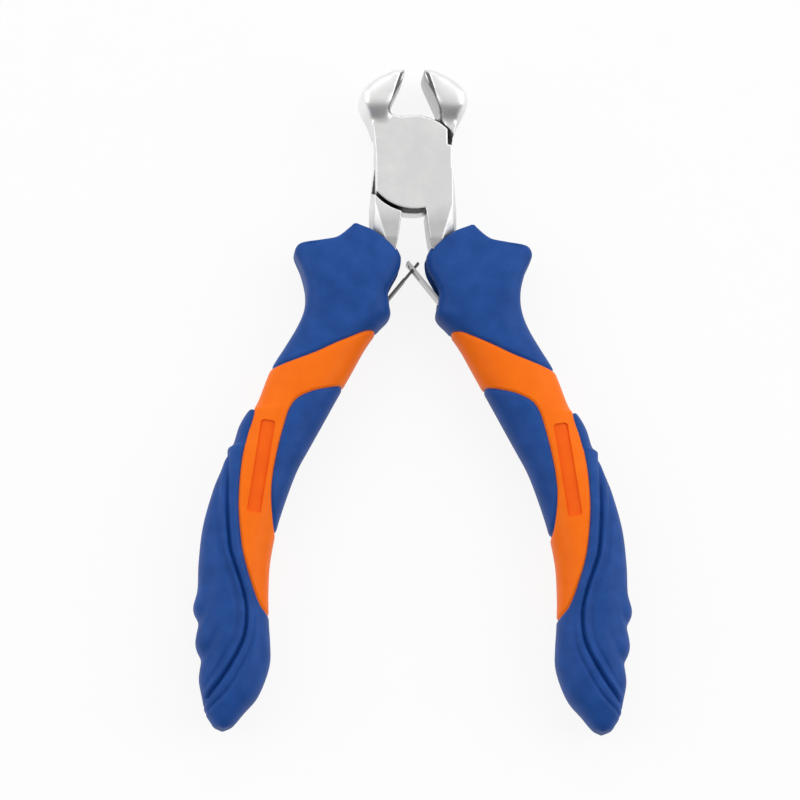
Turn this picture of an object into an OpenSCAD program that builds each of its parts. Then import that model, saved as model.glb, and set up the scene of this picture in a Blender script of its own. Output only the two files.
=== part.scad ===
// End cutting nippers with a lap joint, crossed leaf springs and two-colour grips.
// Lengths are in millimetres. The pivot is the Z axis, the jaws point along +Y, and Z = 0 is the
// back face of the joint. The handles stand open, as the springs hold them.

/* [Joint] */
// Thickness of the joint over both lap plates
joint_t = 8; // [7:0.5:9]
// Radius of each lap plate about the pivot
plate_r = 8.1; // [7.7:0.1:8.6]
// Width of the joint across the pivot
joint_w = 12.8; // [12:0.2:14]
// Gap between a plate's rim and the other half's tang
rim_gap = 0.55; // [0.2:0.05:0.8]
// Gap between a plate's rim and the other half's jaw
jaw_rim_gap = 0.2; // [0.15:0.05:0.5]
// Depth of the nick in a plate's edge, below the other half's jaw
nick_w = 0.75; // [0.3:0.05:1.2]
// Height of the nick's foot above the pivot
nick_y = 3.1; // [2:0.1:4]
// Gap between the lapped faces of the two plates
lap_gap = 0.04; // [0.02:0.01:0.2]
// Diameter of the rivet's shank
rivet_d = 5; // [4:0.25:6]
// Diameter of the rivet's two countersunk heads
rivet_head_d = 7; // [6.5:0.25:8]
// Depth of each countersunk head
rivet_head_t = 1.5; // [1:0.1:2]
// Depth of the rivet's ends below the plates' faces
rivet_sink = 0.05; // [0:0.01:0.2]
// Clearance round the rivet
rivet_clear = 0.03; // [0.02:0.01:0.08]

/* [Jaws] */
// Height of the cutting edges above the pivot
edge_y = 15.8; // [15:0.1:17]
// Gap between the cutting edges with the handles at rest
edge_gap = 3.3; // [2.6:0.1:3.8]
// Length of each cutting edge, along the pivot
jaw_w = 12; // [10:0.5:14]
// Width over both jaws
head_w = 18.8; // [17:0.2:21]
// Height of the jaws' outer corners above the pivot
corner_y = 11.5; // [10.4:0.1:11.8]
// Width of the hollow between the jaws, at its foot
throat_w = 8.6; // [7.6:0.2:9.2]
// Width of the hollow where it narrows towards the edges
hollow_w = 5.2; // [4.6:0.1:5.8]
// Height of that narrowing above the pivot
hollow_y = 12.8; // [12.4:0.1:13.2]
// Width of the bevel along each end of the hollow
bevel_w = 0.5; // [0.3:0.1:1]
// Depth of that bevel along the pivot
bevel_t = 1; // [0.6:0.1:2]
// Height above the pivot where the jaws begin to thicken
flare_y = 7.2; // [6.8:0.1:7.6]
// Length over which they reach their full thickness
flare_l = 3.8; // [3.5:0.1:6]
// How far a jaw's outer side draws in towards its front and back
jaw_round = 0.7; // [0.4:0.1:1.6]

/* [Tangs] */
// Thickness of the tang inside the grip
tang_t = 6.4; // [5.5:0.1:7]
// Width of the tang inside the grip
tang_w = 5; // [4:0.25:5.5]
// Distance of the tang's end below the pivot
tang_end = 76; // [74:0.5:82]
// Draft of the tang's outer side, from its middle to each face
draft_w = 0.8; // [0.3:0.1:1.2]
// Slope of the bevel above the grip: depth for each millimetre of width
bevel_slope = 0.7; // [0.6:0.1:1.3]

/* [Springs] */
// Thickness of the leaf springs
leaf_t = 0.4; // [0.3:0.05:0.5]
// Width of the leaf springs, along the pivot
leaf_w = 3.6; // [3:0.1:4]
// Distance of the leaves' crossing below the pivot
cross_y = 17.8; // [17.4:0.1:18.6]
// Slope of each leaf from the tool's middle line
leaf_slope = 39; // [36:0.5:42]
// Distance along a leaf from its pin to the crossing
cross_l = 9.7; // [9.3:0.1:10.2]
// Length of leaf past the crossing
tip_l = 1.5; // [1.3:0.1:2]
// Diameter of the spring pins
pin_d = 1.5; // [1.2:0.1:1.6]
// Clearance of a leaf's rolled eye round its pin
pin_clear = 0.03; // [0.02:0.01:0.06]
// Clearance of a pin in the tang that holds it
press_clear = 0.01; // [0.01:0.01:0.03]
// Width of the tongue on the left leaf
tongue_w = 1.5; // [1.2:0.1:1.7]
// Length of the window in the right leaf, and of the tongue below the crossing
window_l = 3; // [2.8:0.1:3.4]
// Side clearance of the tongue in the window, and of the leaves in their slots
leaf_clear = 0.25; // [0.2:0.05:0.4]

/* [Grips] */
// Greatest thickness of the grips
grip_t = 12; // [11.5:0.25:14]
// Distance of the grips' lower ends below the pivot
grip_end = 96.6; // [96.4:0.1:100]
// Reach of the guard at the top of each grip, from the middle line
guard_x = 20; // [19:0.1:22]
// Distance of the inner bulge of each grip from the middle line
bulge_x = 2.1; // [2:0.05:2.5]
// Outer reach of the palm swell from the middle line
palm_x = 36.4; // [35:0.1:38]
// Thickness of the soft covers over the hard core
cover_t = 1.2; // [0.8:0.1:1.6]
// Gap left between two mouldings
seam = 0.05; // [0.02:0.01:0.15]
// Clearance of the tang in its socket
socket_clear = 0.1; // [0.05:0.05:0.3]
// Spacing of the scallops
scallop_pitch = 6.1; // [5.6:0.1:6.2]
// Depth of the scallops
scallop_h = 0.8; // [0.2:0.1:1.2]
// Length of the sunk panel on each face
panel_l = 16; // [12:0.5:17]
// Width of the sunk panel
panel_w = 2.4; // [2:0.1:3]
// Depth of the sunk panel
panel_d = 0.3; // [0.2:0.05:0.6]

/* [Hidden] */
$fn = 48;

steel = "silver";
spring_steel = "gainsboro";
soft_blue = "royalblue";
hard_orange = "darkorange";

mid_z = joint_t / 2;
big = 200;
curve_steps = 4;

// Points on a smooth curve through the given ones
function through(a, b, c, d, t) =
    0.5 * (2 * b + (c - a) * t + (2 * a - 5 * b + 4 * c - d) * t * t + (3 * b - a - 3 * c + d) * t * t * t);
function smooth(pts, steps = curve_steps) = let (last = len(pts) - 1) [
    for (i = [0:last - 1]) for (k = [0:steps - 1])
        through(pts[max(i - 1, 0)], pts[i], pts[i + 1], pts[min(i + 2, last)], k / steps),
    pts[last]
];
function arch(a, b, c, steps) = [
    for (k = [0:steps]) let (t = k / steps) (1 - t) * (1 - t) * a + 2 * t * (1 - t) * b + t * t * c
];
function eased(t) = t * t * (3 - 2 * t);
function reversed(pts) = [for (i = [len(pts) - 1:-1:0]) pts[i]];

// Turns a piece over about the tool's long middle line, as one half is the other turned over
module turned_over() translate([0, 0, mid_z]) rotate([0, 180, 0]) translate([0, 0, -mid_z]) children();

// The layer between two heights, drawn from a flat outline
module slab(low, high) translate([0, 0, low]) linear_extrude(high - low) children();

// Jaw outline, on the right of the middle line
joint_x = joint_w / 2;
edge = [edge_gap / 2, edge_y];
corner = [head_w / 2, corner_y];
jaw_top = arch(edge, [head_w / 2 - 3.2, edge_y - 0.3], corner, 8);
jaw_outer = smooth([
    corner, [head_w / 2, corner_y - 1], [head_w / 2 - 0.8, corner_y - 2.4],
    [joint_x + 1, plate_r - 1.3], [joint_x + 0.4, plate_r - 3], [joint_x, 0]
]);
jaw_inner = smooth([
    [throat_w / 2, plate_r - 1.5], [throat_w / 2 - 0.1, plate_r + 0.8],
    [(throat_w + hollow_w) / 4 - 0.1, hollow_y - 1.6], [hollow_w / 2, hollow_y],
    [edge_gap / 2 + 0.14, (hollow_y + edge_y) / 2 + 0.3], edge
]);
jaw_outline = concat(jaw_inner, jaw_top, jaw_outer, [[0, 0]]);

// Tang outline, on the right of the middle line: distance below the pivot, inner edge, outer edge
tang_bend = 34;
tang_run = tang_end - tang_bend;
tang_rows = smooth([
    [0, 0, joint_x], [4, 1.5, joint_x + 0.5], [8, 2, joint_x + 1], [12.5, 2.6, joint_x + 1.1],
    [16, 3.4, 3.4 + tang_w], [20, 4.5, 4.5 + tang_w], [24, 5.8, 5.8 + tang_w * 1.06],
    [28, 7.9, 7.9 + tang_w * 1.12], [tang_bend, 12, 12 + tang_w * 1.14],
    [tang_bend + tang_run * 0.19, 17.2, 17.2 + tang_w * 1.08], [tang_bend + tang_run * 0.38, 22, 22 + tang_w],
    [tang_bend + tang_run * 0.62, 26.4, 26.4 + tang_w * 0.88],
    [tang_bend + tang_run * 0.86, 28.8, 28.8 + tang_w * 0.74], [tang_end, 29.6, 29.6 + tang_w * 0.6]
]);
function row_outline(rows, grow) = concat(
    [for (r = rows) [r[1] - grow, -r[0]]],
    reversed([for (r = rows) [r[2] + grow, -r[0]]])
);

// Half thickness of the steel at each height: tang, joint, then the thickening jaw
taper_y = 12.9;
taper_end = 16.5;
mouth_rows = [for (r = tang_rows) if (r[0] < taper_end + 0.5) r];
socket_rows = concat(
    [for (r = tang_rows) if (r[0] > taper_end - 2) r],
    [tang_rows[len(tang_rows) - 1] + [socket_clear, 0, 0]]
);
side_steps = 12;
flare_power = 0.75;
steel_side = concat(
    [[-big, tang_t / 2], [-taper_end, tang_t / 2], [-taper_y, mid_z]],
    [for (k = [0:side_steps]) let (t = k / side_steps)
        [flare_y + flare_l * t, mid_z + (jaw_w / 2 - mid_z) * eased(pow(t, flare_power))]],
    [[edge_y - 0.9, jaw_w / 2], [edge_y + 0.2, jaw_w / 2 - 1.1]]
);

// Leaf spring places, on the right of the middle line
eye_bore_r = pin_d / 2 + pin_clear;
eye_r = eye_bore_r + leaf_t;
leaf_offset = eye_bore_r + leaf_t / 2;
leaf_dir = [-sin(leaf_slope), cos(leaf_slope)];
leaf_normal = [cos(leaf_slope), sin(leaf_slope)];
pin_at = [0, -cross_y] - cross_l * leaf_dir + leaf_offset * leaf_normal;
slot_w = leaf_w + 2 * leaf_clear;
slot_swing = 1;
window_past = 0.95;
tongue_past = 0.65;
spring_room = [5.9, -26.5];
spring_exit = [3.6, -24];

// Grip rows: distance below the pivot, inner edge, outer edge, half thickness
grip_half = grip_t / 2;
scallop_y = 76;
swell = [
    [24.2, 0.2, 0], [24.1, 0, 0], [23.9, -0.2, -0.1],
    [23.9, -0.5, -0.3], [24.7, -0.8, -0.6], [26.1, -0.9, -1.1]
];
scallop_rows = [for (k = [0:len(swell) - 1]) [
    scallop_y + k * scallop_pitch / 2, swell[k][0],
    palm_x + swell[k][1] + (k % 2 == 0 ? 1 : -1) * scallop_h / 2, grip_half + swell[k][2]
]];
grip_rows = concat([
    [10.8, 9.4, 10.3, grip_half - 1.2], [11.6, 7, 11.3, grip_half - 0.8], [12.4, 5.6, 12.3, grip_half - 0.5],
    [13.1, 4.6, guard_x - 6.3, grip_half - 0.3], [13.6, 3.9, guard_x - 3.4, grip_half - 0.2],
    [14, 3.4, guard_x - 0.9, grip_half - 0.1], [14.7, bulge_x + 0.7, guard_x - 0.15, grip_half - 0.05],
    [15.6, bulge_x + 0.2, guard_x, grip_half], [16.5, bulge_x, guard_x - 0.3, grip_half],
    [18.3, bulge_x + 0.3, guard_x - 1.1, grip_half], [20.4, bulge_x + 1.4, guard_x - 1.7, grip_half - 0.1],
    [22.2, bulge_x + 2.1, guard_x - 1.95, grip_half - 0.2],
    [24.2, bulge_x + 1.5, guard_x - 1.85, grip_half - 0.2],
    [26.2, bulge_x + 1.5, guard_x - 1.3, grip_half - 0.3],
    [28.5, 5.9, 19.8, grip_half - 0.3], [31.5, 8, 21.6, grip_half - 0.4], [35.5, 10.2, 24, grip_half - 0.4],
    [41.3, 13.4, 26.3, grip_half - 0.4], [42.6, 14.1, 27.8, grip_half - 0.4],
    [45, 15.4, 29.2, grip_half - 0.4],
    [48.1, 17.1, palm_x - 6, grip_half - 0.3], [49.2, 17.7, palm_x - 4.9, grip_half - 0.3],
    [52, 19.2, palm_x - 4.2, grip_half - 0.2], [55.8, 20.7, palm_x - 2.7, grip_half - 0.2],
    [62, 22.7, palm_x - 1, grip_half - 0.1], [68, 23.9, palm_x - 0.3, grip_half],
    [72.8, 24.2, palm_x - 0.1, grip_half]
], scallop_rows, [
    [grip_end - 3, 28.1, palm_x - 1.4, grip_half - 1.9],
    [grip_end - 1.4, 29.4, palm_x - 2.3, grip_half - 2.6],
    [grip_end - 0.4, 30.4, palm_x - 3.1, grip_half - 3.2], [grip_end, 31.2, palm_x - 3.9, grip_half - 3.6]
]);
section_sides = 20;

// How square a grip's section is: round at the palm, square where the collar holds the tang
palm_power = 2.5;
collar_power = 5.5;
square_y = 13;
round_y = 21;
function section_power(y) =
    palm_power + (collar_power - palm_power) * eased(min(1, max(0, (round_y - y) / (round_y - square_y))));

// Extent of the hard core under the covers
core_top = 28;
core_end = grip_end - 4;

// Colour boundaries of a grip, each carried past its edges
collar_edge = smooth([
    [2, -28.6], [6.7, -29], [8.2, -29.3], [10.2, -30.1],
    [13.3, -31.4], [17.3, -33.2], [22.4, -34.8], [27, -35.8]
]);
pad_edge = smooth([
    [8, -37.7], [11.7, -38.4], [14.5, -39], [17.3, -39.7], [19.7, -40.9], [21, -42.7], [21.9, -45.4],
    [22.8, -49],
    [23.6, -53.2], [23.9, -57], [23.5, -61.1], [22.8, -64], [21, -68]
]);
palm_edge = smooth([
    [30, -38.6], [27.2, -41], [27.1, -43.7], [28.2, -47.4], [29.1, -52], [29.5, -57.5],
    [29.4, -61.5], [28.8, -66.8], [27.5, -71.5], [25.9, -75.5], [24.3, -77.3], [21, -80]
]);
panel_top = [24.5, -44.7];
panel_lean = 9;
panel_face = grip_half - 0.4;
panel_reach = 2;

// One forged half: the jaw on the left, the front lap plate, and the tang on the right
module plate_outline() {
    intersection() {
        circle(plate_r);
        square([joint_w, 2 * plate_r], center = true);
    }
    polygon(row_outline(tang_rows, 0));
}

// The jaw, with its outer side rounded towards the front and the back
module jaw_form() {
    round_r = (pow(jaw_w / 2, 2) + pow(jaw_round, 2)) / (2 * jaw_round);
    intersection() {
        slab(mid_z - jaw_w, mid_z + jaw_w) mirror([1, 0, 0]) polygon(jaw_outline);
        translate([round_r - head_w / 2, 0, mid_z]) rotate([90, 0, 0])
            cylinder(r = round_r, h = big, center = true);
    }
}

module steel_half() {
    difference() {
        intersection() {
            union() {
                slab(0, joint_t) plate_outline();
                jaw_form();
            }
            translate([0, 0, mid_z]) rotate([90, 0, 90]) linear_extrude(big, center = true)
                polygon(concat(steel_side, reversed([for (p = steel_side) [p[0], -p[1]]])));
        }
        other_plate();
        translate([joint_x - nick_w, nick_y, mid_z]) cube([joint_w, plate_r, joint_t]);
        rivet_shape(rivet_clear, joint_t + rivet_sink);
        for (side = [-1, 1]) {
            hollow_bevel(side);
            tang_bevel(side);
        }
        leaf_slot();
        translate([pin_at[0], pin_at[1], 0]) cylinder(d = pin_d + 2 * press_clear, h = joint_t);
    }
}

// The bevel along one end of the hollow, cut along the line from the throat to the cutting edge
module hollow_bevel(side) {
    foot = [-throat_w / 2, plate_r];
    tip = [-edge[0], edge[1]];
    run = tip - foot;
    translate([foot[0], foot[1], mid_z]) rotate([0, 0, atan2(run[1], run[0])]) rotate([90, 0, 90])
        linear_extrude(norm(run) + edge_gap)
            polygon([
                [-throat_w / 2, side * (jaw_w / 2 - bevel_t)], [0, side * (jaw_w / 2 - bevel_t)],
                [2 * bevel_w, side * (jaw_w / 2 + bevel_t)], [-throat_w / 2, side * (jaw_w / 2 + bevel_t)]
            ]);
}

// Room for the other half's plate: closer to the jaw than to the tang
module other_plate() translate([0, 0, mid_z + lap_gap / 2 - joint_t]) {
    cylinder(r = plate_r + jaw_rim_gap, h = joint_t);
    intersection() {
        cylinder(r = plate_r + rim_gap, h = joint_t);
        translate([-big / 2, -big, 0]) cube([big, big, joint_t]);
    }
}

// The tang's outer side above the grip: a drafted flank, and a bevel that widens down to the grip
module tang_bevel(side) {
    start = [joint_x + 0.5, -5.8];
    run = [-1.9, -6.3];
    foot = 15;
    over = 1;
    flank = joint_x + 1;
    translate([0, -foot, mid_z]) rotate([-90, 0, 0]) linear_extrude(foot - 2)
        polygon([
            [flank, 0], [flank - draft_w * (1 + over / mid_z), -side * (mid_z + over)],
            [head_w, -side * (mid_z + over)], [head_w, 0]
        ]);
    intersection() {
        translate([start[0], start[1], mid_z]) rotate([0, 0, atan2(run[1], run[0])]) rotate([90, 0, 90])
            linear_extrude(big, center = true)
                polygon([
                    [-over / bevel_slope, side * (mid_z + over)],
                    [head_w, side * (mid_z - head_w * bevel_slope)], [head_w, side * (mid_z + over)]
                ]);
        translate([0, -foot, mid_z - joint_t]) cube([head_w, foot, 2 * joint_t]);
    }
}

// The slot in a tang for its leaf spring's rolled eye
module leaf_slot() {
    slab(mid_z - slot_w / 2, mid_z + slot_w / 2) translate(pin_at) {
        circle(eye_r + leaf_clear);
        rotate(leaf_slope) translate([-eye_r - slot_swing, 0])
            square([2 * eye_r + slot_swing + leaf_clear, cross_l]);
    }
}

// The rivet's outline turned about the pivot, as the rivet itself or as the hole for it
module rivet_shape(clear, length) {
    shank_r = rivet_d / 2 + clear;
    head_r = rivet_head_d / 2 + clear;
    translate([0, 0, mid_z]) {
        cylinder(r = shank_r, h = length, center = true);
        for (end = [0, 180]) rotate([end, 0, 0]) translate([0, 0, mid_z - rivet_sink - rivet_head_t]) {
            cylinder(r1 = shank_r, r2 = head_r, h = rivet_head_t);
            if (clear > 0) translate([0, 0, rivet_head_t]) cylinder(r = head_r, h = rivet_sink + 1);
        }
    }
}

module front_half() color(steel) steel_half();
module rear_half() color(steel) turned_over() steel_half();
module pivot_rivet() color(steel) rivet_shape(0, joint_t - 2 * rivet_sink);

// A leaf spring on the right of the middle line: a rolled eye on its pin, and the straight blade
module leaf_blade() {
    translate([pin_at[0], pin_at[1], mid_z]) rotate([0, 0, leaf_slope]) difference() {
        union() {
            cylinder(r = eye_r, h = leaf_w, center = true);
            translate([-leaf_offset - leaf_t / 2, 0, -leaf_w / 2]) cube([leaf_t, cross_l + tip_l, leaf_w]);
        }
        cylinder(r = eye_bore_r, h = 2 * leaf_w, center = true);
        translate([-leaf_offset - leaf_t, 0, mid_z]) children();
    }
}

module right_spring_leaf() color(spring_steel) leaf_blade()
    translate([0, cross_l + window_past - window_l, -mid_z - tongue_w / 2 - leaf_clear])
        cube([2 * leaf_t, window_l, tongue_w + 2 * leaf_clear]);

module left_spring_leaf() color(spring_steel) turned_over() leaf_blade()
    for (side = [-1, 1])
        translate([0, cross_l + tongue_past - window_l, -mid_z + side * (tongue_w + leaf_w) / 2 - leaf_w / 2])
            cube([2 * leaf_t, big, leaf_w]);

module spring_pin() translate([pin_at[0], pin_at[1], mid_z - tang_t / 2])
    cylinder(d = pin_d, h = tang_t);
module right_spring_pin() color(spring_steel) spring_pin();
module left_spring_pin() color(spring_steel) turned_over() spring_pin();

// A solid through level rounded sections: rows give distance down, inner edge, outer edge, half thickness
module rounded_loft(rows) {
    n = section_sides;
    last = len(rows) - 1;
    function rounded(v, y) = sign(v) * pow(abs(v), 2 / section_power(y));
    points = [for (r = rows) for (k = [0:n - 1]) let (a = 360 * (k + 0.5) / n) [
        (r[1] + r[2]) / 2 + (r[2] - r[1]) / 2 * rounded(cos(a), r[0]),
        -r[0],
        mid_z + r[3] * rounded(sin(a), r[0])
    ]];
    walls = [for (i = [0:last - 1]) for (k = [0:n - 1]) let (a = i * n + k, b = i * n + (k + 1) % n) each [
        [a, a + n, b], [b, a + n, b + n]
    ]];
    polyhedron(points, concat([[for (k = [0:n - 1]) k]], walls, [[for (k = [n - 1:-1:0]) last * n + k]]));
}

module grip_form() rounded_loft(smooth(grip_rows, 2));

// The hard core under the soft covers, drawn in from the grip's surface
module core_form(inset) {
    more = cover_t - inset;
    rounded_loft([
        for (r = smooth(grip_rows, 2)) if (r[0] >= core_top - more && r[0] <= core_end + more)
            [r[0], r[1] + inset, r[2] - inset, r[3] - inset]
    ]);
}

// The sunk panel on the front and back faces, following the grip's lean
module panel_cut() {
    for (side = [-1, 1]) translate([panel_top[0], panel_top[1], mid_z]) rotate([0, 0, panel_lean])
        translate([-panel_w / 2, -panel_l, side * (panel_face - panel_d) - (side > 0 ? 0 : panel_reach)])
            cube([panel_w, panel_l, panel_reach]);
}

module collar_zone(shrink) offset(delta = -shrink)
    polygon(concat(collar_edge, [[60, -35.8], [60, 0], [-20, 0], [-20, -28.6]]));
module pad_zone(shrink) offset(delta = -shrink) polygon(concat(pad_edge, [[-20, -68], [-20, -37.7]]));
module palm_zone(shrink) offset(delta = -shrink)
    polygon(concat(palm_edge, [[-20, -80], [-20, -big], [big, -big], [big, -38.6]]));

// Room in a grip for its tang and for the leaf springs' swing
module grip_hollow() {
    slab(mid_z - tang_t / 2 - socket_clear, mid_z + tang_t / 2 + socket_clear)
        polygon(row_outline(socket_rows, socket_clear));
    slab(-socket_clear, joint_t + socket_clear) polygon(row_outline(mouth_rows, socket_clear));
    slab(mid_z - slot_w / 2 - leaf_clear, mid_z + slot_w / 2 + leaf_clear)
        polygon(concat(
            [for (r = tang_rows) if (-r[0] > spring_room[1]) [r[1], -r[0]]],
            [spring_room, spring_exit, [-20, spring_exit[1]], [-20, 0]]
        ));
}

// A soft cover: the grip's surface layer within one zone
module cover() resize([0, 0, 0]) difference() {
    intersection() {
        grip_form();
        slab(-big, big) children();
    }
    core_form(cover_t - seam);
    grip_hollow();
}

module grip_core() resize([0, 0, 0]) difference() {
    union() {
        core_form(cover_t);
        difference() {
            intersection() {
                grip_form();
                slab(-big, big) translate([-20, -big]) square([big, big - 20]);
            }
            slab(-big, big) {
                collar_zone(-seam);
                pad_zone(-seam);
                palm_zone(-seam);
            }
        }
    }
    panel_cut();
    grip_hollow();
}

module right_grip_core() color(hard_orange) grip_core();
module right_grip_collar() color(soft_blue) cover() collar_zone(0);
module right_grip_finger_pad() color(soft_blue) cover() pad_zone(0);
module right_grip_palm_pad() color(soft_blue) cover() palm_zone(0);
module left_grip_core() color(hard_orange) turned_over() grip_core();
module left_grip_collar() color(soft_blue) turned_over() cover() collar_zone(0);
module left_grip_finger_pad() color(soft_blue) turned_over() cover() pad_zone(0);
module left_grip_palm_pad() color(soft_blue) turned_over() cover() palm_zone(0);

front_half();
rear_half();
pivot_rivet();
left_spring_leaf();
right_spring_leaf();
left_spring_pin();
right_spring_pin();
left_grip_core();
left_grip_collar();
left_grip_finger_pad();
left_grip_palm_pad();
right_grip_core();
right_grip_collar();
right_grip_finger_pad();
right_grip_palm_pad();
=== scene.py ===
# %% [markdown]
# # End cutting nippers
# A small spring-opened tool: two forged steel halves turn on a flush rivet, two leaf springs cross below
# the joint, and each tang wears a grip moulded in hard orange and soft blue plastic. The CAD frame holds
# every piece at its true size. This lesson dresses it: pieces whose shape is already right keep their CAD
# form and get a finish, and pieces whose soft curves and creases matter to the eye are modelled again on
# top.

# %% Load the frame
import math

import bmesh
import bpy
import numpy as np
from mathutils import Matrix, Vector


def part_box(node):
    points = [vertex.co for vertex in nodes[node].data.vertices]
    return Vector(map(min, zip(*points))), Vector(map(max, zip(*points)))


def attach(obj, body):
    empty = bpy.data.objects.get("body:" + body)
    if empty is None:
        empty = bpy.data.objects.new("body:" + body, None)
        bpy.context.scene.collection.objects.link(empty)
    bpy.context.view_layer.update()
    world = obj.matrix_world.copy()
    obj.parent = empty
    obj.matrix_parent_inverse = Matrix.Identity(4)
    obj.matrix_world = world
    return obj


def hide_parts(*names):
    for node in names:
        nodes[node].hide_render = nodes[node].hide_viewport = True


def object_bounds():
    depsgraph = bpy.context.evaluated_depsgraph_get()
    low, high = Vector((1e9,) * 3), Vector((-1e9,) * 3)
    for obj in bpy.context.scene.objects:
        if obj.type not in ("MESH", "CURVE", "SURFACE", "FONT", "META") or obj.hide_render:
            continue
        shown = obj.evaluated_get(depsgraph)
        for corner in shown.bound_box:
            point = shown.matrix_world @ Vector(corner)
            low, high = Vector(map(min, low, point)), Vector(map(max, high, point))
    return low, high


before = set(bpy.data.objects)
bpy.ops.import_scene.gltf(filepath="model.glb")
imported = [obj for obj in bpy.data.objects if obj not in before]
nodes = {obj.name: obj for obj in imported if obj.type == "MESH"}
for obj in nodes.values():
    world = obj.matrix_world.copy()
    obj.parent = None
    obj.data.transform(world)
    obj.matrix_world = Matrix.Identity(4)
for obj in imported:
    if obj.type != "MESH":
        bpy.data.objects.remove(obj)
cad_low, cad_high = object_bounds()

scene = bpy.context.scene
print("pieces in the frame:", ", ".join(sorted(nodes)))

# %% [markdown]
# The frame is in metres, while a tool like this is drawn in millimetres, so every size below is written in
# millimetres and scaled once, where a mesh is made. The tool lies flat: the pivot stands along Z, the jaws
# point along +Y, and the middle plane between the two lapped halves is found from the frame itself.

# %% Units and the middle plane
MM = 0.001
steel_low, steel_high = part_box("front_half")
MID_Z = (steel_low.z + steel_high.z) / 2 / MM
TURN_OVER = (
    Matrix.Translation((0, 0, MID_Z * MM))
    @ Matrix.Rotation(math.pi, 4, "Y")
    @ Matrix.Translation((0, 0, -MID_Z * MM))
)
print(f"middle plane {MID_Z:.2f} mm above the back of the joint")

# %% [markdown]
# ## The camera
# The photograph looks straight down on the tool, a little from the handles' side and a little from the
# left, which shows in the lower rims of the joint and in the inner wall of the right jaw. A long lens far
# away keeps the two grips the same size, as they are in the photograph.

# %% Camera
PITCH = math.radians(11)
YAW = math.radians(3.5)
CAMERA_DISTANCE = 2
VIEW_WIDTH = 134.4 * MM
target = Vector((-2.14, -40.1, MID_Z)) * MM

towards_camera = Vector((-math.sin(YAW), -math.sin(PITCH), math.cos(PITCH))).normalized()
across = Vector((0, 1, 0)).cross(towards_camera).normalized()
upwards = towards_camera.cross(across)
camera_data = bpy.data.cameras.new("photo_camera")
camera_data.sensor_width = 36
camera_data.lens = camera_data.sensor_width * CAMERA_DISTANCE / VIEW_WIDTH
camera_data.dof.use_dof = False
camera = bpy.data.objects.new("photo_camera", camera_data)
camera.matrix_world = Matrix.Translation(target + CAMERA_DISTANCE * towards_camera) @ Matrix(
    (across, upwards, towards_camera)
).transposed().to_4x4()
scene.collection.objects.link(camera)
scene.camera = camera
print(f"lens {camera_data.lens:.0f} mm at {CAMERA_DISTANCE} m")

# %% [markdown]
# ## Studio
# Catalogue tools are shot on white paper under large soft lamps. The floor takes a soft shadow, but to the
# camera and in reflections most of its brightness is its own, so the paper reads as white without more
# light on the tool. The surround is brighter behind the jaws than in front of them, because bright steel
# only looks like steel when it has something darker to reflect.

# %% Small helpers for materials
def new_material(name):
    """A material with its Principled shader, and the tree it sits in."""
    material = bpy.data.materials.new(name)
    material.use_nodes = True
    return material, material.node_tree, material.node_tree.nodes["Principled BSDF"]


def add_node(tree, kind, **values):
    """A shader node with its settings and input values given by name."""
    node = tree.nodes.new(kind)
    for name, value in values.items():
        if name in node.inputs:
            node.inputs[name].default_value = value
        else:
            setattr(node, name, value)
    return node


def ramp(tree, factor, low, high, start=0.3, end=0.7):
    """A ramp from one colour to another, driven by a node's factor."""
    node = tree.nodes.new("ShaderNodeValToRGB")
    for stop, place, colour in zip(node.color_ramp.elements, (start, end), (low, high)):
        stop.position = place
        stop.color = (*colour, 1)
    tree.links.new(factor, node.inputs["Fac"])
    return node.outputs["Color"]


# %% White paper floor
FLOOR_SIZE = 6
FLOOR_DROP = 0.05 * MM
OWN_WHITE = 0.88
paper, paper_tree, paper_shader = new_material("white_paper")
paper_shader.inputs["Roughness"].default_value = 0.9
paper_shader.inputs["Specular IOR Level"].default_value = 0.1
paper_fibre = add_node(paper_tree, "ShaderNodeTexNoise", Scale=900, Detail=3)
paper_tree.links.new(
    ramp(paper_tree, paper_fibre.outputs["Fac"], (0.90, 0.90, 0.90), (0.92, 0.92, 0.92)),
    paper_shader.inputs["Base Color"],
)
own_white = add_node(paper_tree, "ShaderNodeEmission", Strength=1)
ray = add_node(paper_tree, "ShaderNodeLightPath")
seen = ray.outputs["Is Camera Ray"]
for kind in ("Is Glossy Ray", "Is Transmission Ray"):
    either = add_node(paper_tree, "ShaderNodeMath", operation="MAXIMUM")
    paper_tree.links.new(seen, either.inputs[0])
    paper_tree.links.new(ray.outputs[kind], either.inputs[1])
    seen = either.outputs["Value"]
share = add_node(paper_tree, "ShaderNodeMapRange")
share.inputs["To Max"].default_value = OWN_WHITE
paper_tree.links.new(seen, share.inputs["Value"])
blend = add_node(paper_tree, "ShaderNodeMixShader")
paper_tree.links.new(share.outputs["Result"], blend.inputs["Fac"])
paper_tree.links.new(paper_shader.outputs["BSDF"], blend.inputs[1])
paper_tree.links.new(own_white.outputs["Emission"], blend.inputs[2])
paper_out = paper_tree.nodes["Material Output"]
paper_tree.links.new(blend.outputs["Shader"], paper_out.inputs["Surface"])

half = FLOOR_SIZE / 2
floor_z = cad_low.z - FLOOR_DROP
floor_mesh = bpy.data.meshes.new("floor")
floor_mesh.from_pydata(
    [(-half, -half, floor_z), (half, -half, floor_z), (half, half, floor_z), (-half, half, floor_z)],
    [],
    [(0, 1, 2, 3)],
)
floor_mesh.materials.append(paper)
floor = bpy.data.objects.new("floor", floor_mesh)
scene.collection.objects.link(floor)
print(f"paper at {floor_z / MM:.2f} mm")

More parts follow.
